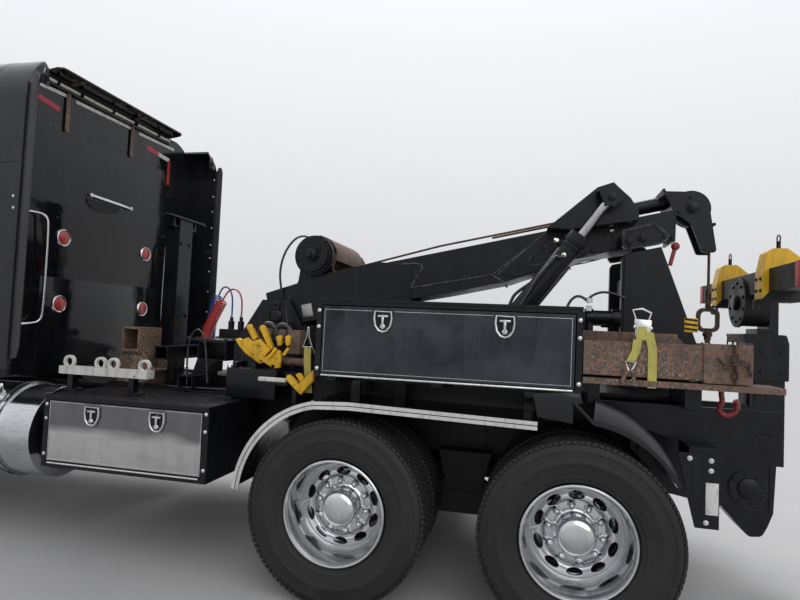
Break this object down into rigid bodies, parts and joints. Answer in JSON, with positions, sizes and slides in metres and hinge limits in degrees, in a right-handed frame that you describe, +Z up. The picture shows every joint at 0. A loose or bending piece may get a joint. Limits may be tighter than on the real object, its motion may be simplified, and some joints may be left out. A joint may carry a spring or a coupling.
{
  "type": "heavy recovery tow truck",
  "caption": "Black long-nosed sleeper tractor with a hydraulic recovery boom, folded underlift, side toolboxes and tandem drive axles",
  "frame": {"origin": "on the ground under the middle of the truck's box", "axes": "+X forward along the truck, +Y to its left side, +Z up"},
  "size_m": [10.48, 2.8, 3.6],
  "materials": {
    "black_paint": "gloss",
    "chassis_black": "satin",
    "wrecker_black": "satin, scuffed",
    "mirror_steel": "mirror polished",
    "chrome": "bright",
    "polished_aluminium": "polished",
    "cylinder_chrome": "ground and chromed",
    "tyre_rubber": "dusty",
    "glass": "tinted",
    "cab_trim": "grained",
    "fender_plastic": "scuffed",
    "rusty_steel": "rusty",
    "white_paint": "chipped",
    "yellow_paint": "chipped",
    "cast_iron": "bare",
    "hook_steel": "worn",
    "red_hose": "glossy",
    "blue_hose": "glossy"
  },
  "bodies": {
    "truck": {"chassis_frame": "chassis_black", "engine_block": "cast_iron", "front_axle": "chassis_black", "drive_axles": "chassis_black", "front_bumper": "chrome", "cab_shell": "black_paint", "windscreen": "glass", "cab_interior": "cab_trim", "sleeper_shell": "black_paint", "sleeper_fairings": "black_paint", "exhaust_stacks": "chrome", "air_cleaners": "chrome", "fuel_tanks": "polished_aluminium", "cab_steps": "polished_aluminium", "headboard_post": "wrecker_black", "tow_deck": "wrecker_black", "boom_supports": "wrecker_black", "toolboxes": "wrecker_black", "side_beams": "rusty_steel", "tandem_fenders": "black_paint", "spreader_bracket": "white_paint", "receiver_stand": "rusty_steel", "tow_forks": "yellow_paint", "air_hose_red": "red_hose", "air_hose_blue": "blue_hose"},
    "hood": {"hood_shell": "black_paint", "grille": "chrome", "headlamps": "chrome"},
    "boom": {"outer_boom": "wrecker_black", "winch": "wrecker_black"},
    "lift_barrel": {"lift_barrels": "wrecker_black"},
    "lift_rod": {"lift_rods": "cylinder_chrome"},
    "boom_tip": {"boom_extension": "wrecker_black"},
    "hook": {"hoist_hook": "hook_steel"},
    "underlift": {"underlift_arm": "wrecker_black"},
    "stinger_bar": {"stinger": "wrecker_black"},
    "crossbar_body": {"crossbar": "yellow_paint"},
    "cab_door_left": {"cab_door_left": "black_paint", "door_glass_left": "glass"},
    "steering_left": {"knuckle_left": "chassis_black"},
    "front_wheel_left": {"steer_wheel_left": "polished_aluminium", "steer_tyre_left": "tyre_rubber"},
    "upper_door_left": {"upper_box_door_left": "mirror_steel"},
    "lower_door_left": {"lower_box_door_left": "mirror_steel"},
    "drive_wheel_front_left": {"drive_wheels_front_left": "polished_aluminium", "drive_tyres_front_left": "tyre_rubber"},
    "drive_wheel_rear_left": {"drive_wheels_rear_left": "polished_aluminium", "drive_tyres_rear_left": "tyre_rubber"},
    "cab_door_right": {"cab_door_right": "black_paint", "door_glass_right": "glass"},
    "steering_right": {"knuckle_right": "chassis_black"},
    "front_wheel_right": {"steer_wheel_right": "polished_aluminium", "steer_tyre_right": "tyre_rubber"},
    "upper_door_right": {"upper_box_door_right": "mirror_steel"},
    "lower_door_right": {"lower_box_door_right": "mirror_steel"},
    "drive_wheel_front_right": {"drive_wheels_front_right": "polished_aluminium", "drive_tyres_front_right": "tyre_rubber"},
    "drive_wheel_rear_right": {"drive_wheels_rear_right": "polished_aluminium", "drive_tyres_rear_right": "tyre_rubber"}
  },
  "joints": [
    {"name": "hood_tilt", "type": "hinge", "parent": "truck", "child": "hood", "pos_m": [4.94, 0, 0.8], "axis": [0, 1, 0], "range_deg": [0, 70]},
    {"name": "door_left", "type": "hinge", "parent": "truck", "child": "cab_door_left", "pos_m": [2.86, 1.06, 1.78], "axis": [0, 0, -1], "range_deg": [0, 65]},
    {"name": "steer_left", "type": "hinge", "parent": "truck", "child": "steering_left", "pos_m": [4.11, 0.82, 0.515], "axis": [0, 0, 1], "range_deg": [-35, 35]},
    {"name": "spin_front_left", "type": "hinge", "parent": "steering_left", "child": "front_wheel_left", "pos_m": [4.11, 1.04, 0.52], "axis": [0, 1, 0], "continuous": true},
    {"name": "spin_drive_front_left", "type": "hinge", "parent": "truck", "child": "drive_wheel_front_left", "pos_m": [-2.58, 0.905, 0.52], "axis": [0, 1, 0], "continuous": true},
    {"name": "spin_drive_rear_left", "type": "hinge", "parent": "truck", "child": "drive_wheel_rear_left", "pos_m": [-3.9, 0.905, 0.52], "axis": [0, 1, 0], "continuous": true},
    {"name": "upper_box_left", "type": "hinge", "parent": "truck", "child": "upper_door_left", "pos_m": [-3.1615, 1.2, 1.298], "axis": [-1, 0, 0], "range_deg": [0, 90]},
    {"name": "lower_box_left", "type": "hinge", "parent": "truck", "child": "lower_door_left", "pos_m": [-1.1935, 1.2, 0.636], "axis": [-1, 0, 0], "range_deg": [0, 90]},
    {"name": "door_right", "type": "hinge", "parent": "truck", "child": "cab_door_right", "pos_m": [2.86, -1.06, 1.78], "axis": [0, 0, 1], "range_deg": [0, 65]},
    {"name": "steer_right", "type": "hinge", "parent": "truck", "child": "steering_right", "pos_m": [4.11, -0.82, 0.515], "axis": [0, 0, 1], "range_deg": [-35, 35]},
    {"name": "spin_front_right", "type": "hinge", "parent": "steering_right", "child": "front_wheel_right", "pos_m": [4.11, -1.04, 0.52], "axis": [0, 1, 0], "continuous": true},
    {"name": "spin_drive_front_right", "type": "hinge", "parent": "truck", "child": "drive_wheel_front_right", "pos_m": [-2.58, -0.905, 0.52], "axis": [0, 1, 0], "continuous": true},
    {"name": "spin_drive_rear_right", "type": "hinge", "parent": "truck", "child": "drive_wheel_rear_right", "pos_m": [-3.9, -0.905, 0.52], "axis": [0, 1, 0], "continuous": true},
    {"name": "upper_box_right", "type": "hinge", "parent": "truck", "child": "upper_door_right", "pos_m": [-3.1615, -1.2, 1.298], "axis": [1, 0, 0], "range_deg": [0, 90]},
    {"name": "lower_box_right", "type": "hinge", "parent": "truck", "child": "lower_door_right", "pos_m": [-1.1935, -1.2, 0.636], "axis": [1, 0, 0], "range_deg": [0, 90]},
    {"name": "boom_lift", "type": "hinge", "parent": "truck", "child": "boom", "pos_m": [-1.81, 0, 1.62], "axis": [0, 1, 0], "range_deg": [0, 40]},
    {"name": "lift_barrel_tilt", "type": "hinge", "parent": "truck", "child": "lift_barrel", "pos_m": [-3.26, 0, 1.345], "axis": [0, 1, 0], "range_deg": [0, 42.54]},
    {"name": "lift_rod_slide", "type": "slide", "parent": "lift_barrel", "child": "lift_rod", "axis": [-0.5992, 0, 0.8006], "range_m": [0, 1.00634]},
    {"name": "boom_extend", "type": "slide", "parent": "boom", "child": "boom_tip", "axis": [-0.9774, 0, 0.2113], "range_m": [0, 1.2]},
    {"name": "hook_plumb", "type": "hinge", "parent": "boom_tip", "child": "hook", "pos_m": [-4.805, 0, 2.3], "axis": [0, 1, 0], "range_deg": [-40, 0]},
    {"name": "underlift_tilt", "type": "hinge", "parent": "truck", "child": "underlift", "pos_m": [-4.89, 0, 0.735], "axis": [0, -1, 0], "range_deg": [0, 95]},
    {"name": "stinger_slide", "type": "slide", "parent": "underlift", "child": "stinger_bar", "axis": [0, 0, 1], "range_m": [0, 0.7]},
    {"name": "crossbar_swivel", "type": "hinge", "parent": "stinger_bar", "child": "crossbar_body", "pos_m": [-5.07, 0, 1.85], "axis": [1, 0, 0], "range_deg": [-40, 40]}
  ],
  "couplings": [
    {"joint": "steer_right", "follows": "steer_left", "ratio": 1},
    {"joint": "lift_barrel_tilt", "follows": "boom_lift", "ratio": 1.0635},
    {"joint": "lift_rod_slide", "follows": "boom_lift", "m_per_rad": 1.4413},
    {"joint": "boom_extend", "follows": "boom_lift", "m_per_rad": 1.7187},
    {"joint": "hook_plumb", "follows": "boom_lift", "ratio": -1}
  ]
}
